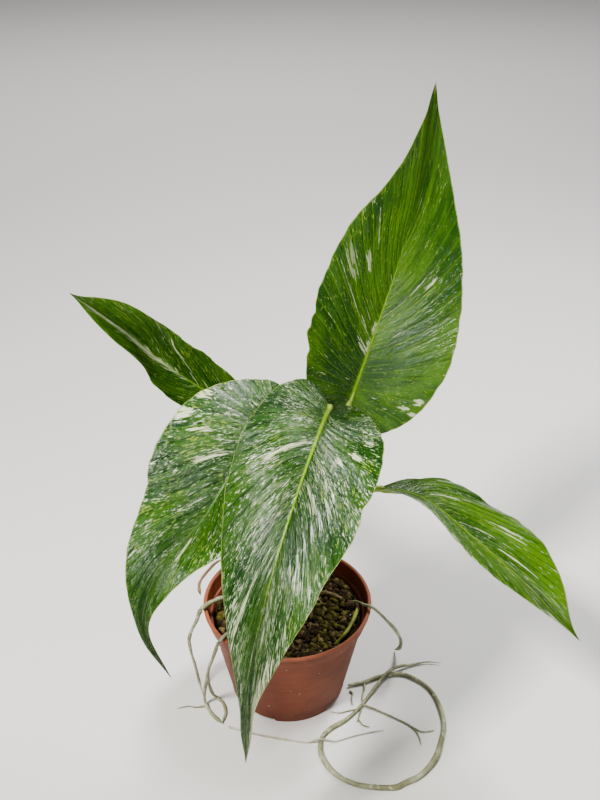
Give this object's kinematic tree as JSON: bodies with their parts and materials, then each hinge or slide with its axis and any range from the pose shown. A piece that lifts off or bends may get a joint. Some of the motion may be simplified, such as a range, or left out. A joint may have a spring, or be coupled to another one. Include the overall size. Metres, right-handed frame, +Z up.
{
  "type": "potted peace lily",
  "caption": "Young variegated peace lily in a plastic nursery pot, with arching glossy leaves on stalks and aerial roots trailing over the rim.",
  "frame": {"origin": "middle of the pot's underside, on the surface that the pot stands on", "axes": "+Z up, the front leaf hangs towards -Y, the right leaf points to +X"},
  "size_m": [0.321, 0.2197, 0.428],
  "materials": {
    "terracotta_plastic": "thin moulded plastic, dull, lighter and worn at the rim",
    "potting_mix": "damp crumbly peat, moss and bark",
    "stalk_tissue": "smooth living stalk, yellow-green",
    "leaf_blade": "glossy living leaf, deep green with cream flecks along the side veins",
    "aerial_root": "smooth matt root skin, grey-green to tan",
    "dry_wood": "dry brown bark"
  },
  "bodies": {
    "root": {"pot": "terracotta_plastic", "potting_mix": "potting_mix", "crown": "stalk_tissue", "upright_leaf_stalk": "stalk_tissue", "far_left_leaf_stalk": "stalk_tissue", "front_left_leaf_stalk": "stalk_tissue", "front_leaf_stalk": "stalk_tissue", "right_leaf_stalk": "stalk_tissue", "upright_leaf_blade": "leaf_blade", "far_left_leaf_blade": "leaf_blade", "front_left_leaf_blade": "leaf_blade", "front_leaf_blade": "leaf_blade", "right_leaf_blade": "leaf_blade", "left_rim_root": "aerial_root", "left_trailing_root": "aerial_root", "pale_table_root": "aerial_root", "right_arching_root": "aerial_root", "inner_rim_root": "aerial_root", "loop_root": "aerial_root", "foot_rootlet": "aerial_root", "dry_rim_root": "dry_wood", "twig_stub": "dry_wood"}
  },
  "joints": []
}
